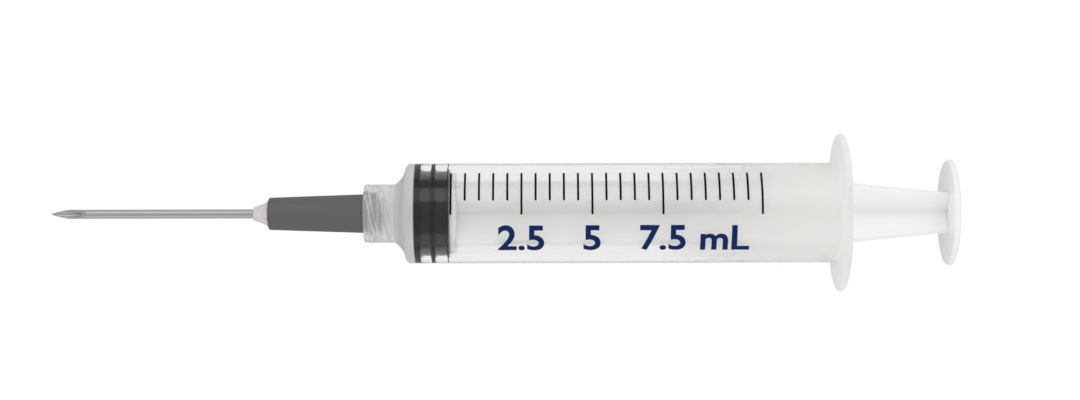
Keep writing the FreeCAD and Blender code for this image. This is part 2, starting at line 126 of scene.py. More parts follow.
def rounded_section(corners: list[Corner], closed: bool, arc_steps: int = 6) -> np.ndarray:
    """Half section through the corners, with each rounded corner as an arc that touches its sides.

    The arc through corner C with unit vectors a and b along its sides starts at C + a t and ends
    at C + b t, with t = rounding / tan(half the angle between the sides). It is swept at even
    angles about its centre.

    Args:
        corners: The corners in order.
        closed: Whether the last corner is joined to the first one.
        arc_steps: How many steps each arc has.

    Returns:
        Points (station, radius) as an array of two columns.
    """
    places = np.array([(c.station, c.radius) for c in corners])
    runs: list[np.ndarray] = []
    count = len(corners)
    for i, corner in enumerate(corners):
        is_end = not closed and i in (0, count - 1)
        if corner.rounding <= 0 or is_end:
            runs.append(places[i : i + 1])
            continue
        to_before = places[i - 1] - places[i]
        to_after = places[(i + 1) % count] - places[i]
        shorter = min(np.linalg.norm(to_before), np.linalg.norm(to_after))
        to_before = to_before / np.linalg.norm(to_before)
        to_after = to_after / np.linalg.norm(to_after)
        half = math.acos(float(np.clip(to_before @ to_after, -1, 1))) / 2
        reach = min(corner.rounding / math.tan(half), 0.49 * shorter)
        fitted = reach * math.tan(half)
        inwards = (to_before + to_after) / np.linalg.norm(to_before + to_after)
        centre = places[i] + inwards * fitted / math.sin(half)
        sweep = np.linspace(-1, 1, arc_steps + 1)[:, None] * (math.pi / 2 - half)
        across = (to_after - to_before) / np.linalg.norm(to_after - to_before)
        runs.append(centre + fitted * (np.sin(sweep) * across - np.cos(sweep) * inwards))
    return np.concatenate(runs)


def divided(section: np.ndarray, longest: float, closed: bool) -> np.ndarray:
    """The same half section, with every run that is longer than longest cut into even steps.

    Args:
        section: Points (station, radius).
        longest: The longest step that is left, in millimetres.
        closed: Whether the last point is joined to the first one.

    Returns:
        The points, with the new ones between them.
    """
    ends = np.roll(section, -1, axis=0) if closed else section[1:]
    starts = section if closed else section[:-1]
    steps = np.maximum(np.ceil(np.linalg.norm(ends - starts, axis=1) / longest), 1).astype(int)
    index = np.repeat(np.arange(len(starts)), steps)
    within = np.arange(steps.sum()) - np.repeat(np.cumsum(steps) - steps, steps)
    share = (within / steps[index])[:, None]
    points = starts[index] * (1 - share) + ends[index] * share
    return points if closed else np.concatenate([points, section[-1:]])


def bent_run(start: Pair, end: Pair, sag: float, steps: int = 8) -> list[Corner]:
    """Corners along a shallow curve between two points of a half section.

    The curve is the chord plus sag (4 s (1 - s)) across it, with s from 0 to 1 along the chord.

    Args:
        start: The first point, as station and radius.
        end: The last point.
        sag: How far the middle is bowed to the left of the way from start to end.
        steps: How many steps the curve has.

    Returns:
        The corners, with both ends.
    """
    share = np.linspace(0, 1, steps + 1)
    chord = np.array(end) - np.array(start)
    left = np.array((-chord[1], chord[0])) / np.linalg.norm(chord)
    points = np.array(start) + share[:, None] * chord + (4 * sag * share * (1 - share))[:, None] * left
    return [Corner(float(x), float(r)) for x, r in points]


def even_turns(columns: int) -> np.ndarray:
    """Evenly spaced turns about the axis, in radians."""
    return np.arange(columns) / columns * 2 * math.pi


def mesh_from_grid(points: np.ndarray, rows_closed: bool) -> Mesh:
    """A mesh of quads on a grid of points that is closed round its columns.

    Args:
        points: Places in metres, as (rows, columns, 3).
        rows_closed: Whether the last row is joined to the first one.

    Returns:
        The mesh, with coincident points merged and its faces pointing outwards.
    """
    rows, columns = points.shape[:2]
    row = np.arange(rows if rows_closed else rows - 1)[:, None]
    column = np.arange(columns)[None, :]
    next_row, next_column = (row + 1) % rows, (column + 1) % columns
    quads = np.stack(
        [
            row * columns + column,
            row * columns + next_column,
            next_row * columns + next_column,
            next_row * columns + column,
        ],
        axis=-1,
    ).reshape(-1, 4)
    mesh = bpy.data.meshes.new("piece")
    mesh.vertices.add(rows * columns)
    mesh.vertices.foreach_set("co", points.astype(np.float32).ravel())
    mesh.loops.add(quads.size)
    mesh.loops.foreach_set("vertex_index", quads.astype(np.int32).ravel())
    mesh.polygons.add(len(quads))
    mesh.polygons.foreach_set("loop_start", np.arange(0, quads.size, 4, dtype=np.int32))
    mesh.polygons.foreach_set("loop_total", np.full(len(quads), 4, np.int32))
    mesh.update(calc_edges=True)
    closed = bmesh.new()
    closed.from_mesh(mesh)
    bmesh.ops.remove_doubles(closed, verts=closed.verts, dist=MERGED)
    bmesh.ops.dissolve_degenerate(closed, edges=closed.edges, dist=DEGENERATE)
    bmesh.ops.recalc_face_normals(closed, faces=closed.faces)
    closed.to_mesh(mesh)
    closed.free()
    return mesh


def turned(datum: Datum, section: np.ndarray, columns: int, closed: bool) -> Mesh:
    """A mesh of a half section carried round the axis.

    Args:
        datum: Where the syringe lies.
        section: Points (station, radius).
        columns: How many steps go round the axis.
        closed: Whether the section's last point is joined to the first one.

    Returns:
        The mesh.
    """
    turn = even_turns(columns)[None, :]
    return mesh_from_grid(datum.place(section[:, :1], section[:, 1:], turn), rows_closed=closed)


def shown(name: str, mesh: Mesh, material: Material, sharp_degrees: float) -> Piece:
    """Links a mesh to the scene as a smooth object whose edges stay sharp past an angle.

    Args:
        name: The piece's name.
        mesh: Its mesh, placed in the frame.
        material: Its finish.
        sharp_degrees: Edges whose faces meet at more than this angle stay sharp.

    Returns:
        The piece.
    """
    mesh.name = name
    mesh.shade_smooth()
    mesh.set_sharp_from_angle(angle=math.radians(sharp_degrees))
    mesh.materials.append(material)
    piece = bpy.data.objects.new(name, mesh)
    bpy.context.scene.collection.objects.link(piece)
    return piece


def dressed(piece: Piece, body: str, node: str) -> Piece:
    """Makes a piece ride on its body and stand for a node of the frame.

    Args:
        piece: The piece.
        body: The body that carries it.
        node: The node that it replaces.

    Returns:
        The same piece.
    """
    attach(piece, body)
    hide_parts(node)
    return piece


class MixKind(Enum):
    """What a Mix node mixes: the numbers of its first, second and result sockets."""

    FLOAT = (2, 3, 0)
    RGBA = (6, 7, 2)


class Nodes:
    """A material's node tree, with short ways to add nodes and join them."""

    def __init__(self, name: str) -> None:
        """Starts an empty material.

        Args:
            name: The material's name.
        """
        self.material = bpy.data.materials.new(name)
        self.material.use_nodes = True
        self.tree = self.material.node_tree
        self.tree.nodes.clear()

    @classmethod
    def within(cls, tree: bpy.types.NodeTree) -> "Nodes":
        """The same ways for a node tree that exists already, such as the world's.

        Args:
            tree: The node tree.

        Returns:
            The helper, with no material of its own.
        """
        nodes = cls.__new__(cls)
        nodes.material, nodes.tree = None, tree
        return nodes

    def add(self, kind: str, inputs: dict | None = None, **settings: object) -> bpy.types.Node:
        """Adds a node.

        Args:
            kind: The node's type, such as ShaderNodeTexNoise.
            inputs: Values for its input sockets, by name or number. A socket is linked instead.
            settings: Values for the node's own properties.

        Returns:
            The node.
        """
        node = self.tree.nodes.new(kind)
        for key, value in settings.items():
            setattr(node, key, value)
        for key, value in (inputs or {}).items():
            if isinstance(value, Socket):
                self.tree.links.new(value, node.inputs[key])
            else:
                node.inputs[key].default_value = value
        return node

    def math(self, operation: str, first: object, second: object = 0.0) -> Socket:
        """The result of a Math node on two values or sockets."""
        return self.add("ShaderNodeMath", {0: first, 1: second}, operation=operation).outputs[0]

    def ramp(self, value: Socket, low: float, high: float, to_low: float, to_high: float) -> Socket:
        """A value eased from one range to another, slowly at both ends, and held past them."""
        inputs = {"Value": value, "From Min": low, "From Max": high, "To Min": to_low, "To Max": to_high}
        return self.add("ShaderNodeMapRange", inputs, interpolation_type="SMOOTHSTEP").outputs["Result"]

    def place(self, stretch: Triple = (1.0, 1.0, 1.0)) -> Socket:
        """Places in metres in the piece's own axes, stretched by a factor on each axis."""
        coordinates = self.add("ShaderNodeTexCoord").outputs["Object"]
        return self.add("ShaderNodeMapping", {"Vector": coordinates, "Scale": stretch}).outputs["Vector"]

    def noise(self, place: Socket, scale: float, detail: float = 2.0) -> Socket:
        """Fine random variation from 0 to 1, about scale spots to the metre."""
        inputs = {"Vector": place, "Scale": scale, "Detail": detail}
        return self.add("ShaderNodeTexNoise", inputs).outputs["Fac"]

    def bump(self, height: Socket, depth: float, strength: float) -> Socket:
        """A normal that is tilted by a height of up to depth metres."""
        inputs = {"Height": height, "Distance": depth, "Strength": strength}
        return self.add("ShaderNodeBump", inputs).outputs["Normal"]

    def mix(self, kind: MixKind, share: object, first: object, second: object) -> Socket:
        """The result of a Mix node on two numbers or two colours.

        Args:
            kind: Whether numbers or colours are mixed.
            share: 0 for the first one, 1 for the second.
            first: A value or a socket.
            second: A value or a socket.

        Returns:
            The socket of the result.
        """
        first_socket, second_socket, result = kind.value
        inputs = {0: share, first_socket: first, second_socket: second}
        return self.add("ShaderNodeMix", inputs, data_type=kind.name).outputs[result]

    def blend(self, share: object, first: object, second: object) -> Socket:
        """A number that is the first one where share is 0 and the second where it is 1."""
        return self.mix(MixKind.FLOAT, share, first, second)

    def tinted(self, share: Socket, first: Triple, second: Triple) -> Socket:
        """A colour that is the first one where share is 0 and the second where it is 1."""
        return self.mix(MixKind.RGBA, share, (*first, 1.0), (*second, 1.0))

    def principled(self, inputs: dict) -> Socket:
        """A Principled shader with these inputs."""
        return self.add("ShaderNodeBsdfPrincipled", inputs).outputs[0]

    def mixed(self, share: object, first: Socket, second: Socket) -> Socket:
        """A shader that is the first one where share is 0 and the second where it is 1."""
        return self.add("ShaderNodeMixShader", {0: share, 1: first, 2: second}).outputs[0]

    def finished(self, surface: Socket) -> Material:
        """The material, with surface as its shader."""
        self.add("ShaderNodeOutputMaterial", {"Surface": surface})
        return self.material


@dataclass(frozen=True)
class ClearPlastic:
    """Natural polypropylene of the barrel: clear, with a milky haze that differs along it.

    The tube has almost none in front and grows milkier towards the finger flange, which has the
    most. The shoulder and the cone with its channel are milky. So is the collar, and rings of
    denser haze across it are painted highlights: whiter bands that stand for the light off the
    thread's ridge flanks. The thread itself is nearly clear.
    Lengths are in metres, and places along X are the frame's.
    """

    tint: Triple = (0.937, 0.934, 0.929)
    collar_tint: Triple = (0.99, 0.99, 0.99)
    haze_colour: Triple = (0.94, 0.935, 0.925)
    collar_haze_colour: Triple = (0.88, 0.88, 0.91)
    refraction: float = 1.49
    roughness_low: float = 0.02
    roughness_high: float = 0.05
    collar_roughness: float = 0.22
    tube_haze: float = 0.004
    collar_haze: float = 0.42
    # Extra haze in the collar's rings: painted highlights that stand for the light off the thread's ridge
    # flanks.
    painted_highlight_haze: float = 0.22
    ring_pitch: float = 0.00152
    ring_x: float = -0.02328
    ring_edge: float = 0.2
    shoulder_haze: float = 0.80
    shoulder_from_x: float = -0.0206
    shoulder_x: float = -0.0188
    thread_haze: float = 0.06
    channel_haze: float = 0.80
    thread_radius: float = 0.0045
    core_radii: Pair = (0.0025, 0.0032)
    axis_z: float = 0.0129
    rear_haze: float = 0.50
    flange_haze: float = 0.88
    collar_end_x: float = -0.0156
    tube_start_x: float = -0.0151
    rear_from_x: float = 0.025
    flange_root_x: float = 0.0592
    flange_front_x: float = 0.0602
    lamp_tint: Triple = (0.985, 0.985, 0.98)

    def material(self) -> Material:
        """Clear plastic and haze, open to lamps so that they light what is inside.

        Returns:
            The material.
        """
        nodes = Nodes("clear_polypropylene")
        place = nodes.place()
        x, y, z = nodes.add("ShaderNodeSeparateXYZ", {"Vector": place}).outputs
        in_tube = nodes.ramp(x, self.collar_end_x, self.tube_start_x, 0.0, 1.0)
        share = self.haze_share(nodes, x, self.from_axis(nodes, y, z), in_tube)
        clear, haze = self.clear_shader(nodes, place, in_tube), self.haze_shader(nodes, in_tube)
        body = nodes.mixed(share, clear, haze)
        ray = nodes.add("ShaderNodeLightPath").outputs
        lamps = nodes.math("MAXIMUM", ray["Is Shadow Ray"], ray["Is Diffuse Ray"])
        opening = nodes.add("ShaderNodeBsdfTransparent", {"Color": (*self.lamp_tint, 1.0)}).outputs[0]
        return nodes.finished(nodes.mixed(lamps, body, opening))

    def clear_shader(self, nodes: Nodes, place: Socket, in_tube: Socket) -> Socket:
        """The refracting plastic, with faint flow marks along it and a rougher collar.

        Args:
            nodes: The material's nodes.
            place: Places on the barrel.
            in_tube: 0 in the collar and the shoulder, 1 in the tube.

        Returns:
            The shader.
        """
        flow = nodes.noise(nodes.place((0.15, 1.0, 1.0)), 260.0, 3.0)
        speckle = nodes.noise(place, 420.0)
        mottled = nodes.ramp(speckle, *NOISE_SPREAD, self.roughness_low, self.roughness_high)
        in_collar = nodes.blend(in_tube, self.collar_roughness, 0.0)
        return nodes.principled(
            {
                "Base Color": nodes.tinted(in_tube, self.collar_tint, self.tint),
                "Roughness": nodes.math("MAXIMUM", mottled, in_collar),
                "IOR": self.refraction,
                "Transmission Weight": 1.0,
                "Normal": nodes.bump(flow, 0.00001, 0.012),
            }
        )

    def haze_shader(self, nodes: Nodes, in_tube: Socket) -> Socket:
        """The milky plastic, which scatters light back and through in equal shares.

        Args:
            nodes: The material's nodes.
            in_tube: 0 in the collar and the shoulder, 1 in the tube.

        Returns:
            The shader.
        """
        colour = nodes.tinted(in_tube, self.collar_haze_colour, self.haze_colour)
        milk = nodes.add("ShaderNodeBsdfDiffuse", {"Color": colour}).outputs[0]
        glow = nodes.add("ShaderNodeBsdfTranslucent", {"Color": colour}).outputs[0]
        return nodes.mixed(0.5, milk, glow)

    def from_axis(self, nodes: Nodes, y: Socket, z: Socket) -> Socket:
        """Distance from the axis: the root of y squared plus the height over it squared.

        Args:
            nodes: The material's nodes.
            y: Place across the barrel.
            z: Height over the floor.

        Returns:
            The distance.
        """
        height = nodes.math("SUBTRACT", z, self.axis_z)
        squares = nodes.math("ADD", nodes.math("POWER", y, 2.0), nodes.math("POWER", height, 2.0))
        return nodes.math("SQRT", squares)

    def haze_share(self, nodes: Nodes, x: Socket, from_axis: Socket, in_tube: Socket) -> Socket:
        """How much of the plastic is haze at each place.

        On the collar's outside it rises in rings, where the cosine of 2 pi (x - ring_x) /
        ring_pitch is over ring_edge. These rings are painted highlights that stand for the light off
        the thread's ridge flanks. Within thread_radius of the axis it falls from the channel's
        share to the thread's between the two core_radii. The two rises towards the flange are
        counted too, and the largest share holds.

        Args:
            nodes: The material's nodes.
            x: Place along the barrel.
            from_axis: Distance from the axis.
            in_tube: 0 in the collar and the shoulder, 1 in the tube.

        Returns:
            The share, from 0 to 1.
        """
        # Whiter rings of haze across the collar: painted highlights that stand for the light off the
        # thread's ridges.
        turns = nodes.math("MULTIPLY", nodes.math("SUBTRACT", x, self.ring_x), 2 * math.pi / self.ring_pitch)
        densest = self.collar_haze + self.painted_highlight_haze
        ring = nodes.ramp(nodes.math("COSINE", turns), self.ring_edge, 1.0, self.collar_haze, densest)
        in_shoulder = nodes.ramp(x, self.shoulder_from_x, self.shoulder_x, 0.0, 1.0)
        outside = nodes.blend(in_shoulder, ring, self.shoulder_haze)
        core = nodes.ramp(from_axis, *self.core_radii, self.channel_haze, self.thread_haze)
        inside = nodes.math("LESS_THAN", from_axis, self.thread_radius)
        front = nodes.blend(in_tube, nodes.blend(inside, outside, core), self.tube_haze)
        rear = nodes.ramp(x, self.rear_from_x, self.flange_root_x, 0.0, self.rear_haze)
        flange = nodes.ramp(x, self.flange_root_x, self.flange_front_x, 0.0, self.flange_haze)
        return nodes.math("MAXIMUM", front, nodes.math("MAXIMUM", rear, flange))


@dataclass(frozen=True)
class MilkyPlastic:
    """Natural polypropylene of the plunger rod: white, soft, and lit from within."""

    light: Triple = (0.94, 0.932, 0.925)
    dark: Triple = (0.92, 0.912, 0.905)
    roughness: float = 0.38
    depth: float = 0.0016

    def material(self) -> Material:
        """Scattering plastic with faint flow marks along the moulding.

        Returns:
            The material.
        """
        nodes = Nodes("milky_polypropylene")
        drawn = nodes.place((0.2, 1.0, 1.0))
        flow = nodes.noise(drawn, 180.0, 3.0)
        shader = nodes.principled(
            {
                "Base Color": nodes.tinted(flow, self.light, self.dark),
                "Roughness": self.roughness,
                "IOR": 1.49,
                "Subsurface Weight": 0.8,
                "Subsurface Radius": (1.0, 0.95, 0.9),
                "Subsurface Scale": self.depth,
                "Normal": nodes.bump(nodes.noise(nodes.place(), 900.0), 0.00001, 0.3),
            }
        )
        return nodes.finished(shader)


@dataclass(frozen=True)
class BlackRubber:
    """Rubber of the gasket, with a film of silicone that makes it shine."""

    light: Triple = (0.007, 0.006, 0.009)
    dark: Triple = (0.003, 0.003, 0.004)
    roughness_low: float = 0.40
    roughness_high: float = 0.52

    def material(self) -> Material:
        """Near black, with a fine grain.

        Returns:
            The material.
        """
        nodes = Nodes("black_rubber")
        place = nodes.place()
        grain = nodes.noise(place, 2600.0, 4.0)
        film = nodes.noise(place, 500.0)
        shader = nodes.principled(
            {
                "Base Color": nodes.tinted(grain, self.light, self.dark),
                "Roughness": nodes.ramp(film, *NOISE_SPREAD, self.roughness_low, self.roughness_high),
                "IOR": 1.5,
                "Normal": nodes.bump(grain, 0.00002, 0.3),
            }
        )
        return nodes.finished(shader)


@dataclass(frozen=True)
class SatinPlastic:
    """Grey polypropylene of the needle's hub, with a fine spark-eroded grain."""

    light: Triple = (0.132, 0.127, 0.133)
    dark: Triple = (0.112, 0.107, 0.114)
    roughness_low: float = 0.42
    roughness_high: float = 0.55

    def material(self) -> Material:
        """Satin grey with faint cloudy colour and a fine grain.

        Returns:
            The material.
        """
        nodes = Nodes("grey_polypropylene")
        cloud = nodes.noise(nodes.place((0.4, 1.0, 1.0)), 420.0, 3.0)
        grain = nodes.noise(nodes.place(), 5200.0, 2.0)
        shader = nodes.principled(
            {
                "Base Color": nodes.tinted(cloud, self.light, self.dark),
                "Roughness": nodes.ramp(cloud, *NOISE_SPREAD, self.roughness_low, self.roughness_high),
                "IOR": 1.49,
                "Normal": nodes.bump(grain, 0.00002, 0.5),
            }
        )
        return nodes.finished(shader)


@dataclass(frozen=True)
class ClearAdhesive:
    """Set adhesive round the needle tube: pale, glossy and cloudy."""

    colour: Triple = (0.88, 0.83, 0.83)
    clear_colour: Triple = (0.96, 0.94, 0.93)
    haze: float = 0.75
    haze_swing: float = 0.06
    shadow_opening: float = 0.6

    def material(self) -> Material:
        """About a quarter refracting and the rest scattering, in a swirl.

        Returns:
            The material.
        """
        nodes = Nodes("clear_adhesive")
        swirl = nodes.noise(nodes.place(), 900.0, 3.0)
        bump = nodes.bump(swirl, 0.00003, 0.4)
        clear = nodes.principled(
            {
                "Base Color": (*self.clear_colour, 1.0),
                "Roughness": 0.08,
                "IOR": 1.5,
                "Transmission Weight": 1.0,
                "Normal": bump,
            }
        )
        cloudy = nodes.principled(
            {"Base Color": (*self.colour, 1.0), "Roughness": 0.18, "IOR": 1.5, "Normal": bump}
        )
        share = nodes.ramp(swirl, *NOISE_SPREAD, self.haze - self.haze_swing, self.haze + self.haze_swing)
        body = nodes.mixed(share, clear, cloudy)
        shadow = nodes.add("ShaderNodeLightPath").outputs["Is Shadow Ray"]
        opening = nodes.add("ShaderNodeBsdfTransparent", {"Color": (0.9, 0.9, 0.9, 1.0)}).outputs[0]
        open_share = nodes.math("MULTIPLY", shadow, self.shadow_opening)
        return nodes.finished(nodes.mixed(open_share, body, opening))


@dataclass(frozen=True)
class DrawnSteel:
    """Stainless steel of the needle tube, with the fine lines that drawing leaves along it."""

    light: Triple = (0.84, 0.82, 0.81)
    dark: Triple = (0.80, 0.78, 0.77)
    roughness_low: float = 0.24
    roughness_high: float = 0.34

    def material(self) -> Material:
        """Metal with streaks along the axis.

        Returns:
            The material.
        """
        nodes = Nodes("drawn_steel")
        streaks = nodes.noise(nodes.place((0.01, 1.0, 1.0)), 9000.0, 2.0)
        shader = nodes.principled(
            {
                "Base Color": nodes.tinted(streaks, self.light, self.dark),
                "Metallic": 0.82,
                "Roughness": nodes.ramp(streaks, *NOISE_SPREAD, self.roughness_low, self.roughness_high),
                "Normal": nodes.bump(streaks, 0.000001, 0.1),
            }
        )
        return nodes.finished(shader)


@dataclass(frozen=True)
class PrintingInk:
    """Ink of the printed scale and its numbers."""

    name: str
    colour: Triple
    worn: Triple
    roughness_low: float = 0.55
    roughness_high: float = 0.7

    def material(self) -> Material:
        """Flat ink with a faint mottle.

        Returns:
            The material.
        """
        nodes = Nodes(self.name)
        mottle = nodes.noise(nodes.place(), 3500.0, 2.0)
        shader = nodes.principled(
            {
                "Base Color": nodes.tinted(mottle, self.colour, self.worn),
                "Roughness": nodes.ramp(mottle, *NOISE_SPREAD, self.roughness_low, self.roughness_high),
                "IOR": 1.2,
            }
        )
        return nodes.finished(shader)


@dataclass(frozen=True)
class Thread:
    """Right-hand ridges of trapezoid section round the axis, as a height over a turned wall."""

    lead: float
    starts: int
    height: float
    base_width: float
    crest_width: float
    first_station: float
    last_station: float
    first_turn: float
    run_out: float = 0.25

    def height_at(self, station: np.ndarray, turn: np.ndarray) -> np.ndarray:
        """Height of the ridges over the wall at each station and turn.

        A ridge's middle lies at first_station + lead * about / (one turn), where about is the
        angle past first_turn. Both are counted from straight down, against the way of turn.
        The height falls from full at half the crest's width from that middle to nothing at half
        the base's width, and to nothing over run_out at both ends of the ridge.

        Args:
            station: Distance along X from the floor of the bore.
            turn: Angle about the axis, in radians.

        Returns:
            The heights, in the common shape of both arrays.
        """
        about = math.pi - turn - math.radians(self.first_turn)
        turns = (station - self.first_station) / self.lead - about / (2 * math.pi)
        nearest = np.round(turns * self.starts) / self.starts
        off_middle = (turns - nearest) * self.lead
        middle = station - off_middle
        slope_width = (self.base_width - self.crest_width) / 2
        flank = np.clip((self.base_width / 2 - np.abs(off_middle)) / slope_width, 0, 1)
        begun = np.clip((middle - self.first_station) / self.run_out + 0.5, 0, 1)
        ended = np.clip((self.last_station - middle) / self.run_out + 0.5, 0, 1)
        return self.height * flank * begun * ended


@dataclass(frozen=True)
class Barrel:
    """The clear moulding: tube, shoulder, locking collar, luer cone and finger flange."""

    bore_radius: float = 8.0
    outer_radius: float = 8.9
    depth: float = 76.85
    flange_radius: float = 14.07
    flange_half_flats: float = 12.9
    flange_thickness: float = 1.2
    collar_radius: float = 5.2
    collar_front: float = -8.85
    collar_floor: float = -2.85
    thread_root_radius: float = 4.0
    cone_tip: float = -10.85
    cone_tip_radius: float = 2.0
    cone_slope: float = 0.03
    channel_radius: float = 1.05
    inlet_radius: float = 2.3
    inlet_depth: float = 0.9
    flare_start: float = -3.40
    flare_end: float = -1.45
    flare_end_radius: float = 7.97
    flare_sag: float = -0.34
    shoulder_end: float = -0.75
    shoulder_sag: float = 0.16
    collar_bevel: float = 0.3
    mouth_bevel: float = 0.4
    bead_from_mouth: float = 3.2
    bead_half_length: float = 1.0
    bead_height: float = 0.25
    flats_clear: float = 0.6
    outline_power: float = 110.0
    fine_step: float = 0.09
    kept_every: int = 40
    columns: int = 288
    thread: Thread = Thread(
        lead=5.0,
        starts=2,
        height=0.5,
        base_width=1.0,
        crest_width=0.5,
        first_station=-8.2,
        last_station=-3.6,
        first_turn=124.0,
    )

    def section(self) -> np.ndarray:
        """Closed half section, from the tip of the luer cone round the outside to the channel.

        Returns:
            Points (station, radius).
        """
        flange_front = self.depth - self.flange_thickness
        bead = self.depth - self.bead_from_mouth
        floor_radius = self.cone_tip_radius + self.cone_slope * (self.collar_floor - self.cone_tip)
        flare_end = (self.flare_end, self.flare_end_radius)
        flare = bent_run((self.flare_start, self.collar_radius), flare_end, self.flare_sag)
        shoulder = bent_run(flare_end, (self.shoulder_end, self.outer_radius), self.shoulder_sag)
        corners = [
            Corner(self.cone_tip, self.channel_radius, 0.08),
            Corner(self.cone_tip, self.cone_tip_radius, 0.15),
            Corner(self.collar_floor, floor_radius, 0.25),
            Corner(self.collar_floor, self.thread_root_radius, 0.25),
            Corner(self.collar_front + self.collar_bevel, self.thread_root_radius, 0.1),
            Corner(self.collar_front, self.thread_root_radius + self.collar_bevel, 0.1),
            Corner(self.collar_front, self.collar_radius, 0.5),
            *flare,
            *shoulder[1:],
            Corner(flange_front, self.outer_radius, 0.5),
            Corner(flange_front, self.flange_radius, 0.5),
            Corner(self.depth, self.flange_radius, 0.5),
            Corner(self.depth, self.bore_radius + self.mouth_bevel, 0.12),
            Corner(self.depth - self.mouth_bevel, self.bore_radius, 0.12),
            *bent_run(
                (bead + self.bead_half_length, self.bore_radius),
                (bead - self.bead_half_length, self.bore_radius),
                self.bead_height,
            ),
            Corner(0.0, self.bore_radius, 0.35),
            Corner(0.0, self.inlet_radius, 0.1),
            Corner(-self.inlet_depth, self.channel_radius, 0.1),
        ]
        return rounded_section(corners, closed=True)

    def flange_outline(self, turn: np.ndarray) -> np.ndarray:
        """Radius of the flange's outline at each turn: a circle cut by two flats, corners rounded.

        Two radii a (the circle's) and b (the flat's, half_flats / |cos turn|) are blended by
        (a^-p + b^-p)^(-1/p), which follows the smaller one and rounds the corner between them.

        Args:
            turn: Angle about the axis, in radians.

        Returns:
            The outline's radius at each turn.
        """
        power = self.outline_power
        # Towards the sides the flat's line runs off to infinity, so it is cut short well outside.
        flat = self.flange_half_flats / np.maximum(np.abs(np.cos(turn)), 1e-3)
        ratio = np.minimum(flat / self.flange_radius, 4.0)
        return self.flange_radius * (1 + ratio**-power) ** (-1 / power)

    def build(self, datum: Datum, finish: ClearPlastic) -> Piece:
        """The barrel's piece: the turned section, with flats on its flange and the collar's thread.

        Args:
            datum: Where the syringe lies.
            finish: The clear plastic.

        Returns:
            The piece.
        """
        section = self.thinned(divided(self.section(), self.fine_step, closed=True))
        turn = even_turns(self.columns)[None, :]
        station, radius = section[:, :1], section[:, 1:]
        root = self.outer_radius + self.flats_clear
        outline = self.flange_outline(turn)
        reach = np.clip((radius - root) / (self.flange_radius - root), 0, None)
        on_flange = station > self.depth - 2 * self.flange_thickness
        radius = np.where(on_flange & (radius > root), root + reach * (outline - root), radius + 0 * turn)
        in_bore = (
            (np.abs(radius - self.thread_root_radius) < SAME_WALL)
            & (station < self.collar_floor)
            & (station > self.collar_front)
        )
        radius = np.where(in_bore, radius - self.thread.height_at(station, turn), radius)
        mesh = mesh_from_grid(datum.place(station, radius, turn), rows_closed=True)
        piece = shown("barrel_shell", mesh, finish.material(), sharp_degrees=34)
        return dressed(piece, "barrel", "barrel")

    def thinned(self, section: np.ndarray) -> np.ndarray:
        """Drops the fine steps everywhere but in the thread, where the ridges need them.

        A point is kept in the thread's bore, where the section turns, or once in kept_every steps.

        Args:
            section: Points (station, radius) in fine steps.

        Returns:
            The points that are kept.
        """
        before = section - np.roll(section, 1, axis=0)
        after = np.roll(section, -1, axis=0) - section
        # The cross product of the steps before and after a point is nothing on a straight run.
        cross = before[:, 0] * after[:, 1] - before[:, 1] * after[:, 0]
        bends = np.abs(cross) > 1e-6
        at_root = np.abs(section[:, 1] - self.thread_root_radius) < SAME_WALL
        in_thread = at_root & (section[:, 0] < self.collar_floor)
        spaced = np.arange(len(section)) % self.kept_every == 0
        return section[bends | in_thread | spaced]


@dataclass(frozen=True)
class Gasket:
    """The black rubber head, whose ribs are pressed against the bore."""

    front: float = 0.25
    rib_radius: float = 8.004
    waist_radius: float = 7.55
    rib_widths: Triple = (1.2, 0.9, 0.35)
    waist_widths: Pair = (1.7, 2.0)
    face_thickness: float = 1.6
    pocket_depth: float = 2.1
    pocket_radius: float = 3.85
    neck_radius: float = 2.55
    columns: int = 256

    def section(self) -> np.ndarray:
        """Half section, from the middle of the front face round the ribs into the pocket.

        Returns:
            Points (station, radius).
        """
        corners = [Corner(self.front, 0.0)]
        station = self.front
        for i, width in enumerate(self.rib_widths):
            corners.append(Corner(station, self.rib_radius, 0.12))
            corners.append(Corner(station + width, self.rib_radius, 0.12))
            station += width
            if i < len(self.waist_widths):
                corners.append(Corner(station, self.waist_radius, 0.16))
                station += self.waist_widths[i]
                corners.append(Corner(station, self.waist_radius, 0.16))
        pocket = self.front + self.face_thickness
        corners += [
            Corner(station, self.neck_radius, 0.08),
            Corner(pocket + self.pocket_depth, self.neck_radius, 0.08),
            Corner(pocket + self.pocket_depth, self.pocket_radius, 0.08),
            Corner(pocket, self.pocket_radius, 0.5),
            Corner(pocket, 0.0),
        ]
        return rounded_section(corners, closed=False)

    def build(self, datum: Datum, finish: BlackRubber) -> Piece:
        """The gasket's piece: its half section turned about the axis.

        Args:
            datum: Where the syringe lies.
            finish: The rubber.

        Returns:
            The piece.
        """
        mesh = turned(datum, self.section(), self.columns, closed=False)
        piece = shown("gasket_rubber", mesh, finish.material(), sharp_degrees=40)
        return dressed(piece, "gasket", "gasket")


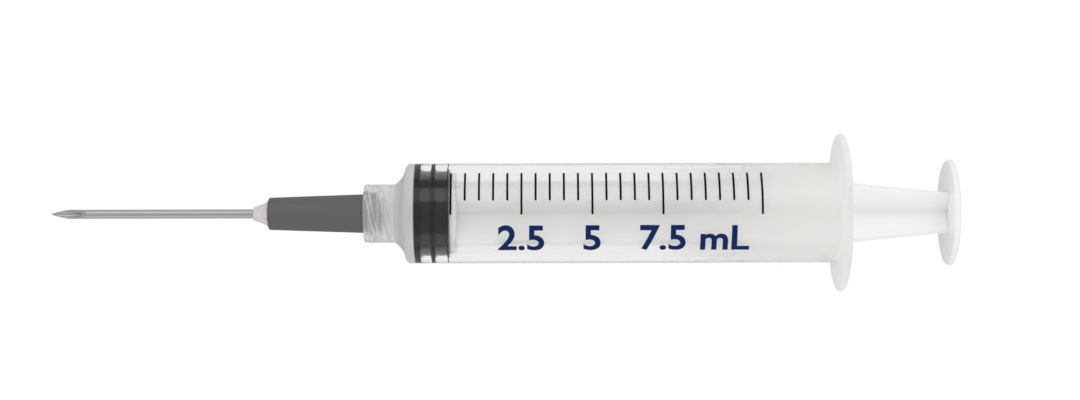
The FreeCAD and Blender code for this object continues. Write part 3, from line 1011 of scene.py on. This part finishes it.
@dataclass(frozen=True)
class PlungerRod:
    """The rod's moulding: button, neck, front disc, crossed fins and thumb rest."""

    button_front: float = 1.9
    button_rear: float = 3.9
    button_radius: float = 3.8
    neck_radius: float = 2.5
    disc_front: float = 6.45
    disc_thickness: float = 1.2
    disc_radius: float = 7.2
    fin_reach: float = 7.2
    fin_thickness: float = 1.2
    fin_edge_round: float = 0.22
    fin_root_round: float = 0.5
    fin_turn: float = 45.0
    thumb_front: float = 95.15
    thumb_thickness: float = 1.15
    thumb_radius: float = 9.44
    stem_reach: float = 4.6
    taper_length: float = 19.2
    groove_radii: Pair = (3.5, 6.0)
    groove_width: float = 0.6
    groove_depth: float = 0.2
    groove_slope: float = 0.12
    disc_foot_round: float = 0.25
    rest_foot_round: float = 0.3
    taper_bow: float = 0.02
    straight_rings: int = 24
    taper_rings: int = 14
    side_steps: int = 26
    edge_steps: int = 4

    def cross(self, reach: float, grow: float = 0.0) -> np.ndarray:
        """Outline of the crossed fins, as points (a, b) about the axis, always in the same number.

        One fin's outline runs from its left root round its tip to its right root: straight sides
        at half its thickness, quarter circles at the tip's corners and fillets at the roots. It
        is repeated at every quarter turn.

        Args:
            reach: The tip's distance from the axis.
            grow: How far the outline is pushed out of the fins' sides.

        Returns:
            The outline's points.
        """
        half = self.fin_thickness / 2 + grow
        edge, root = self.fin_edge_round, self.fin_root_round
        arc = np.linspace(0, math.pi / 2, self.edge_steps + 1)
        root_arc = np.linspace(0, math.pi / 4, self.edge_steps + 1)
        root_centre = half + root
        root_run = root_centre - root * np.stack([np.cos(root_arc), np.sin(root_arc)], axis=1)[::-1]
        side = np.geomspace(root_centre, reach - edge, self.side_steps + 1)[1:-1]
        side_run = np.stack([np.full_like(side, half), side], axis=1)
        tip_run = np.stack([half - edge + edge * np.cos(arc), reach - edge + edge * np.sin(arc)], axis=1)
        right = np.concatenate([root_run, side_run, tip_run])
        fin = np.concatenate([right, right[::-1] * np.array([-1.0, 1.0])])
        quarter_turns = np.arange(4) * math.pi / 2
        c, s = np.cos(quarter_turns)[:, None], np.sin(quarter_turns)[:, None]
        a, b = fin[None, :, 0], fin[None, :, 1]
        return np.stack([a * c - b * s, a * s + b * c], axis=-1).reshape(-1, 2)

    def circle(self, radius: float) -> np.ndarray:
        """Points on a circle, each one at the same turn as its fellow on the fins' outline."""
        outline = self.cross(self.fin_reach)
        return radius * outline / np.linalg.norm(outline, axis=1, keepdims=True)

    def rings(self) -> list[tuple[float, np.ndarray]]:
        """The rod's outlines from front to rear.

        Returns:
            Each outline's station and its points.
        """
        head = rounded_section(
            [
                Corner(self.button_front, 0.0),
                Corner(self.button_front, self.button_radius, 0.5),
                Corner(self.button_rear, self.button_radius, 0.1),
                Corner(self.button_rear, self.neck_radius, 0.1),
                Corner(self.disc_front, self.neck_radius, 0.15),
                Corner(self.disc_front, self.disc_radius, 0.2),
                Corner(self.disc_front + self.disc_thickness, self.disc_radius, 0.2),
                Corner(self.disc_front + self.disc_thickness, self.fin_reach - 0.3),
            ],
            closed=False,
        )
        rings = [(float(x), self.circle(float(r))) for x, r in head]
        fins_from = self.disc_front + self.disc_thickness
        foot = self.disc_foot_round
        rings += [
            (fins_from + foot * (1 - math.cos(a)), self.cross(self.fin_reach, foot * (1 - math.sin(a))))
            for a in np.linspace(0, math.pi / 2, 4)
        ]
        taper_from = self.thumb_front - self.taper_length
        straight = np.linspace(fins_from + 3, taper_from - 1, self.straight_rings)
        rings += [(float(x), self.cross(self.fin_reach)) for x in straight]
        foot = self.rest_foot_round
        for share in np.linspace(0, 1, self.taper_rings):
            eased = share + self.taper_bow * math.sin(math.pi * share)
            reach = self.fin_reach + (self.stem_reach - self.fin_reach) * min(eased, 1.0)
            rings.append((taper_from + share * (self.taper_length - foot), self.cross(reach)))
        rings += [
            (
                self.thumb_front - foot * math.cos(a),
                self.cross(self.stem_reach, foot * (1 - math.cos(a - math.pi / 2))),
            )
            for a in np.linspace(0.3, math.pi / 2, 3)
        ]
        thumb_rear = self.thumb_front + self.thumb_thickness
        corners = [
            Corner(self.thumb_front, self.stem_reach + 0.8),
            Corner(self.thumb_front, self.thumb_radius, 0.5),
            Corner(thumb_rear, self.thumb_radius, 0.5),
        ]
        for radius in sorted(self.groove_radii, reverse=True):
            outer, inner = radius + self.groove_width / 2, radius - self.groove_width / 2
            corners += [
                Corner(thumb_rear, outer, 0.08),
                Corner(thumb_rear - self.groove_depth, outer - self.groove_slope, 0.08),
                Corner(thumb_rear - self.groove_depth, inner + self.groove_slope, 0.08),
                Corner(thumb_rear, inner, 0.08),
            ]
        corners.append(Corner(thumb_rear, 0.0))
        rest = rounded_section(corners, closed=False)
        rings += [(float(x), self.circle(float(r))) for x, r in rest]
        return rings

    def build(self, datum: Datum, finish: MilkyPlastic) -> Piece:
        """The rod's piece: one closed skin through all its rings.

        Args:
            datum: Where the syringe lies.
            finish: The milky plastic.

        Returns:
            The piece.
        """
        rings = self.rings()
        station = np.array([x for x, _ in rings])[:, None]
        outlines = np.stack([points for _, points in rings])
        turn = np.arctan2(outlines[..., 0], outlines[..., 1]) + math.radians(self.fin_turn)
        radius = np.linalg.norm(outlines, axis=-1)
        mesh = mesh_from_grid(datum.place(station, radius, turn), rows_closed=False)
        piece = shown("plunger_rod_moulding", mesh, finish.material(), sharp_degrees=38)
        return dressed(piece, "rod", "plunger_rod")


@dataclass(frozen=True)
class NeedleHub:
    """The grey hub: luer socket and locking lugs at its rear, tube seat and well in front."""

    nose: float = -26.05
    base: float = -9.15
    mouth: float = -5.85
    nose_radius: float = 2.88
    base_radius: float = 3.46
    nose_round: float = 0.75
    skirt_radius: float = 3.3
    well_depth: float = 3.0
    well_mouth_radius: float = 1.85
    well_floor_radius: float = 1.3
    tube_radius: float = 0.825
    tube_bore_radius: float = 0.595
    tube_rear: float = -16.8
    socket_floor: float = -14.85
    funnel_length: float = 1.5
    socket_mouth_radius: float = 2.17
    socket_floor_radius: float = 1.90
    skirt_step: float = 0.08
    columns: int = 192
    lugs: Thread = Thread(
        lead=5.0,
        starts=2,
        height=0.58,
        base_width=1.0,
        crest_width=0.6,
        first_station=-7.48,
        last_station=-6.56,
        first_turn=265.6,
        run_out=0.12,
    )

    def section(self) -> np.ndarray:
        """Closed half section, from the well's mouth round the outside to the tube's seat.

        Returns:
            Points (station, radius).
        """
        corners = [
            Corner(self.nose, self.well_mouth_radius, 0.1),
            Corner(self.nose, self.nose_radius, self.nose_round),
            Corner(self.base, self.base_radius, 0.22),
            Corner(self.base, self.skirt_radius, 0.05),
            Corner(self.mouth, self.skirt_radius, 0.12),
            Corner(self.mouth, self.socket_mouth_radius, 0.12),
            Corner(self.socket_floor, self.socket_floor_radius, 0.1),
            Corner(self.socket_floor - self.funnel_length, self.tube_bore_radius),
            Corner(self.tube_rear, self.tube_bore_radius),
            Corner(self.tube_rear, self.tube_radius),
            Corner(self.nose + self.well_depth, self.tube_radius),
            Corner(self.nose + self.well_depth, self.well_floor_radius, 0.15),
        ]
        return rounded_section(corners, closed=True, arc_steps=8)

    def build(self, datum: Datum, finish: SatinPlastic) -> Piece:
        """The hub's piece: the turned section with its two lugs on the skirt.

        Args:
            datum: Where the syringe lies.
            finish: The grey plastic.

        Returns:
            The piece.
        """
        section = self.section()
        on_skirt = np.abs(section[:, 1] - self.skirt_radius) < SAME_WALL
        first, last = np.flatnonzero(on_skirt)[[0, -1]]
        skirt = divided(section[[first, last]], self.skirt_step, closed=False)
        section = np.concatenate([section[:first], skirt, section[last + 1 :]])
        turn = even_turns(self.columns)[None, :]
        station, radius = section[:, :1], section[:, 1:] + 0 * turn
        on_skirt = np.abs(radius - self.skirt_radius) < SAME_WALL
        radius = np.where(on_skirt, radius + self.lugs.height_at(station, turn), radius)
        mesh = mesh_from_grid(datum.place(station, radius, turn), rows_closed=True)
        piece = shown("needle_hub_moulding", mesh, finish.material(), sharp_degrees=38)
        return dressed(piece, "needle", "needle_hub")


@dataclass(frozen=True)
class NeedleBond:
    """The cone of adhesive in front of the hub, with its root in the hub's well."""

    front: float = -28.65
    hub_nose: float = -26.08
    well_floor: float = -23.08
    bore_radius: float = 0.855
    front_radius: float = 1.25
    base_radius: float = 2.25
    root_radius: float = 1.82
    floor_radius: float = 1.27
    columns: int = 128

    def section(self) -> np.ndarray:
        """Closed half section, with a meniscus that climbs from the hub's nose to the tube.

        Returns:
            Points (station, radius).
        """
        meniscus = bent_run((self.front, self.front_radius), (self.hub_nose, self.base_radius), -0.12, 10)
        corners = [
            Corner(self.front, self.bore_radius),
            *meniscus,
            Corner(self.hub_nose, self.root_radius),
            Corner(self.well_floor, self.floor_radius, 0.15),
            Corner(self.well_floor, self.bore_radius),
        ]
        corners[1] = Corner(self.front, self.front_radius, 0.2)
        return rounded_section(corners, closed=True)

    def build(self, datum: Datum, finish: ClearAdhesive) -> Piece:
        """The adhesive's piece: its half section turned about the axis.

        Args:
            datum: Where the syringe lies.
            finish: The set adhesive.

        Returns:
            The piece.
        """
        mesh = turned(datum, self.section(), self.columns, closed=True)
        piece = shown("needle_adhesive", mesh, finish.material(), sharp_degrees=40)
        return dressed(piece, "needle_carrier", "needle_bond")


@dataclass(frozen=True)
class Cannula:
    """The needle tube with its ground lancet point."""

    point: float = -65.15
    rear: float = -16.8
    outer_radius: float = 0.825
    bore_radius: float = 0.595
    bevel_angle: float = 13.7
    lancet_angle: float = 17.0
    lancet_turn: float = 45.0
    columns: int = 128
    wall_steps: int = 60
    wall_crowding: float = 1.5
    face_steps: int = 5

    def front_at(self, radius: np.ndarray, turn: np.ndarray) -> np.ndarray:
        """Station where the tube begins: the furthest back of the three grinding planes.

        Each plane passes through the point at the bottom of the tube. Its height over the
        bottom, measured square to its own turn, rises by the tangent of its angle along X.

        Args:
            radius: Distance from the axis.
            turn: Angle about the axis, in radians.

        Returns:
            The station of the ground face.
        """
        height = radius * np.cos(turn) + self.outer_radius
        across = np.abs(radius * np.sin(turn))
        bevel = height / math.tan(math.radians(self.bevel_angle))
        tilt = math.radians(self.lancet_turn)
        tilted_height = height * math.cos(tilt) + across * math.sin(tilt)
        lancet = tilted_height / math.tan(math.radians(self.lancet_angle))
        return self.point + np.maximum(bevel, lancet)

    def build(self, datum: Datum, finish: DrawnSteel) -> Piece:
        """The tube's piece: outer wall, rear end, inner wall and ground face in one closed skin.

        The rings along a wall stand at the share s ^ wall_crowding of its length, with s in even
        steps from 0 to 1, so that they lie closer near the point.

        Args:
            datum: Where the syringe lies.
            finish: The steel.

        Returns:
            The piece.
        """
        turn = even_turns(self.columns)[None, :]
        along = (np.linspace(0, 1, self.wall_steps + 1) ** self.wall_crowding)[:, None]
        outer_front = self.front_at(np.array([[self.outer_radius]]), turn)
        inner_front = self.front_at(np.array([[self.bore_radius]]), turn)
        outer_wall = outer_front + along * (self.rear - outer_front)
        inner_wall = (inner_front + along * (self.rear - inner_front))[::-1]
        across_wall = np.linspace(self.bore_radius, self.outer_radius, self.face_steps + 1)
        face_radius = across_wall[1:-1, None] + 0 * turn
        station = np.concatenate([outer_wall, inner_wall, self.front_at(face_radius, turn)])
        radius = np.concatenate(
            [
                np.full_like(outer_wall, self.outer_radius),
                np.full_like(inner_wall, self.bore_radius),
                face_radius,
            ]
        )
        mesh = mesh_from_grid(datum.place(station, radius, turn), rows_closed=True)
        piece = shown("needle_tube", mesh, finish.material(), sharp_degrees=30)
        return dressed(piece, "needle", "cannula")


@dataclass(frozen=True)
class ScalePrint:
    """The printed scale's ink, and plain numbers beside its long lines."""

    labels: tuple[tuple[str, float], ...] = (("2.5", 5.0), ("5", 10.0), ("7.5", 15.0), ("mL", 19.3))
    line_pitch: float = 2.4868
    zero_line: float = 6.86
    barrel_radius: float = 8.9
    ink_thickness: float = 0.03
    cap_height: float = 4.9
    cap_share: float = 0.7
    middle_turn: float = -30.0
    boldness: float = 0.022
    merged: float = 1e-4
    longest_edge: float = 0.7

    def number(self, text: str, step: float, datum: Datum, material: Material) -> Piece:
        """One number, laid round the barrel under its line.

        A point (u, v) of the flat text goes to the line's station + u and to the turn
        middle_turn + v / radius.

        Args:
            text: What is printed.
            step: The scale line that it is centred under.
            datum: Where the syringe lies.
            material: The ink.

        Returns:
            The number's piece.
        """
        curve = bpy.data.curves.new("number", "FONT")
        curve.body = text
        curve.align_x, curve.align_y = "CENTER", "CENTER"
        curve.size = self.cap_height / self.cap_share
        curve.offset = self.boldness * curve.size
        curve.extrude = self.ink_thickness / 2
        curve.resolution_u = 8
        flat = bpy.data.objects.new("flat_number", curve)
        bpy.context.scene.collection.objects.link(flat)
        bpy.context.view_layer.update()
        mesh = bpy.data.meshes.new_from_object(flat.evaluated_get(bpy.context.evaluated_depsgraph_get()))
        bpy.data.objects.remove(flat)
        bpy.data.curves.remove(curve)
        work = bmesh.new()
        work.from_mesh(mesh)
        bmesh.ops.remove_doubles(work, verts=work.verts, dist=self.merged)
        bmesh.ops.triangulate(work, faces=work.faces)
        long_edges = [edge for edge in work.edges if edge.calc_length() > self.longest_edge]
        while long_edges:
            bmesh.ops.subdivide_edges(work, edges=long_edges, cuts=1)
            bmesh.ops.triangulate(work, faces=[face for face in work.faces if len(face.verts) > 3])
            long_edges = [edge for edge in work.edges if edge.calc_length() > self.longest_edge]
        work.to_mesh(mesh)
        work.free()
        flat_points = np.empty(len(mesh.vertices) * 3, np.float32)
        mesh.vertices.foreach_get("co", flat_points)
        u, v, w = flat_points.reshape(-1, 3).T.astype(float)
        v = v - (v.max() + v.min()) / 2
        turn = math.radians(self.middle_turn) + v / self.barrel_radius
        radius = self.barrel_radius + self.ink_thickness / 2 + w
        placed = datum.place(self.zero_line + step * self.line_pitch + u, radius, turn)
        mesh.vertices.foreach_set("co", placed.astype(np.float32).ravel())
        mesh.update()
        piece = shown("number_" + text.replace(".", "_"), mesh, material, sharp_degrees=30)
        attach(piece, "barrel")
        return piece

    def build(self, datum: Datum, marks: Piece, lines: PrintingInk, numbers: PrintingInk) -> list[Piece]:
        """Inks the frame's own scale lines and adds the numbers.

        Args:
            datum: Where the syringe lies.
            marks: The frame's scale lines.
            lines: The ink of the lines.
            numbers: The ink of the numbers.

        Returns:
            The numbers' pieces.
        """
        marks.data.materials.clear()
        marks.data.materials.append(lines.material())
        material = numbers.material()
        return [self.number(text, step, datum, material) for text, step in self.labels]


@dataclass(frozen=True)
class Studio:
    """White backdrop, soft lamps and a camera that looks straight down."""

    picture_width: int = 1080
    millimetres_per_pixel: float = 0.179
    camera_distance: float = 403.0
    sensor_width: float = 36.0
    aim_x: float = 6.975
    aim_y: float = 2.37
    roll: float = -0.13
    ambient: float = 0.84
    reflected_zenith: float = 0.27
    reflected_horizon: float = 0.12
    reflected_floor: float = 0.40
    # Each lamp's name, its angle from straight up in degrees, its width in metres and its watts.
    strips: tuple[tuple[str, float, float, float], ...] = (
        ("far_strip", 45.0, 0.42, 0.90),
        ("near_strip", -65.0, 0.42, 0.60),
    )
    strip_distance: float = 0.7
    strip_length: float = 1.2
    floor_colour: Triple = (0.8, 0.8, 0.8)
    seen_floor_colour: Triple = (0.10, 0.10, 0.10)
    seen_floor_glow: float = 0.93
    floor_reach: float = 1.5

    def camera(self, datum: Datum) -> Piece:
        """The camera, above the syringe, with +X to the right and +Y up in the picture.

        Args:
            datum: Where the syringe lies.

        Returns:
            The camera.
        """
        data = bpy.data.cameras.new("camera")
        view_width = self.picture_width * self.millimetres_per_pixel
        data.sensor_width = self.sensor_width
        data.lens = self.sensor_width * self.camera_distance / view_width
        data.clip_start, data.clip_end = 0.01, 20.0
        camera = bpy.data.objects.new("camera", data)
        camera.location = Vector((self.aim_x, self.aim_y, datum.axis_height + self.camera_distance)) * MM
        camera.rotation_euler = (0.0, 0.0, math.radians(self.roll))
        bpy.context.scene.collection.objects.link(camera)
        bpy.context.scene.camera = camera
        return camera

    def world(self) -> None:
        """Plain white surroundings that light the syringe softly."""
        world = bpy.data.worlds.new("white_room")
        world.use_nodes = True
        tree = world.node_tree
        tree.nodes.clear()
        nodes = Nodes.within(tree)
        ray = nodes.add("ShaderNodeLightPath").outputs
        seen = nodes.math("MAXIMUM", ray["Is Camera Ray"], ray["Is Transmission Ray"])
        direction = nodes.add("ShaderNodeTexCoord").outputs["Generated"]
        height = nodes.add("ShaderNodeSeparateXYZ", {"Vector": direction}).outputs["Z"]
        reflected = nodes.ramp(height, 0.0, 0.9, self.reflected_horizon, self.reflected_zenith)
        plain = nodes.blend(seen, self.ambient, 1.0)
        strength = nodes.blend(ray["Is Glossy Ray"], plain, reflected)
        background = nodes.add("ShaderNodeBackground", {"Color": (1.0, 1.0, 1.0, 1.0), "Strength": strength})
        nodes.add("ShaderNodeOutputWorld", {"Surface": background.outputs[0]})
        bpy.context.scene.world = world

    def lamp(self, name: str, place: Triple, size: Pair, watts: float) -> None:
        """A rectangular lamp that faces the middle of the syringe.

        Args:
            name: The lamp's name.
            place: Where it hangs, in metres.
            size: Its length along X and its width, in metres.
            watts: Its power.
        """
        data = bpy.data.lights.new(name, "AREA")
        data.shape = "RECTANGLE"
        data.size, data.size_y = size
        data.energy = watts
        lamp = bpy.data.objects.new(name, data)
        lamp.location = place
        lamp.rotation_euler = (-math.atan2(place[1], place[2]), 0.0, 0.0)
        bpy.context.scene.collection.objects.link(lamp)

    def lamps(self) -> None:
        """Long strips beside the syringe, each at its own angle from straight up."""
        distance = self.strip_distance
        for name, degrees, width, watts in self.strips:
            angle = math.radians(degrees)
            place = (0.0, distance * math.sin(angle), distance * math.cos(angle))
            self.lamp(name, place, (self.strip_length, width), watts)

    def floor(self) -> Piece:
        """A plain white floor that keeps the syringe's shadow.

        Returns:
            The floor, as part of the stage.
        """
        nodes = Nodes("white_floor")
        ray = nodes.add("ShaderNodeLightPath").outputs
        seen = nodes.math("MAXIMUM", ray["Is Camera Ray"], ray["Is Transmission Ray"])
        paint = nodes.add("ShaderNodeBsdfDiffuse", {"Color": (*self.floor_colour, 1.0)}).outputs[0]
        thin_paint = nodes.add("ShaderNodeBsdfDiffuse", {"Color": (*self.seen_floor_colour, 1.0)}).outputs[0]
        white = {"Color": (1.0, 1.0, 1.0, 1.0), "Strength": self.seen_floor_glow}
        glow = nodes.add("ShaderNodeEmission", white).outputs[0]
        bright = nodes.add("ShaderNodeAddShader", {0: thin_paint, 1: glow}).outputs[0]
        dim = nodes.add("ShaderNodeEmission", {"Strength": self.reflected_floor}).outputs[0]
        unseen = nodes.mixed(ray["Is Glossy Ray"], paint, dim)
        material = nodes.finished(nodes.mixed(seen, unseen, bright))
        reach = self.floor_reach
        mesh = bpy.data.meshes.new("floor")
        corners = [(-reach, -reach, 0.0), (reach, -reach, 0.0), (reach, reach, 0.0), (-reach, reach, 0.0)]
        mesh.from_pydata(corners, [], [(0, 1, 2, 3)])
        mesh.materials.append(material)
        floor = bpy.data.objects.new("floor", mesh)
        bpy.context.scene.collection.objects.link(floor)
        return floor

    def build(self) -> None:
        """Lamps, surroundings and floor, with the colours shown plainly."""
        bpy.context.scene.view_settings.view_transform = "Standard"
        self.world()
        self.lamps()
        self.floor()


def main() -> None:
    """Builds the camera, the pieces and the studio."""
    logging.basicConfig(level=logging.INFO, format="%(message)s")
    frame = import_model()
    gasket, cannula = Gasket(), Cannula()
    gasket_box, cannula_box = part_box("gasket"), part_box("cannula")
    datum = Datum(
        station_zero=gasket_box[0][0] / MM - gasket.front,
        axis_height=(cannula_box[0][2] + cannula_box[1][2]) / 2 / MM,
    )
    log.info("station 0 at x %.3f mm, axis at z %.3f mm", datum.station_zero, datum.axis_height)
    studio = Studio()
    studio.camera(datum)
    pieces = [
        Barrel().build(datum, ClearPlastic()),
        gasket.build(datum, BlackRubber()),
        PlungerRod().build(datum, MilkyPlastic()),
        NeedleHub().build(datum, SatinPlastic()),
        NeedleBond().build(datum, ClearAdhesive()),
        cannula.build(datum, DrawnSteel()),
        *ScalePrint().build(
            datum,
            frame["nodes"]["graduation_marks"],
            PrintingInk("black_ink", (0.003, 0.003, 0.003), (0.006, 0.006, 0.006)),
            PrintingInk("blue_ink", (0.002, 0.018, 0.100), (0.003, 0.024, 0.125)),
        ),
    ]
    for piece in pieces:
        log.info("%s: %d faces", piece.name, len(piece.data.polygons))
    studio.build()


if __name__ == "__main__":
    main()
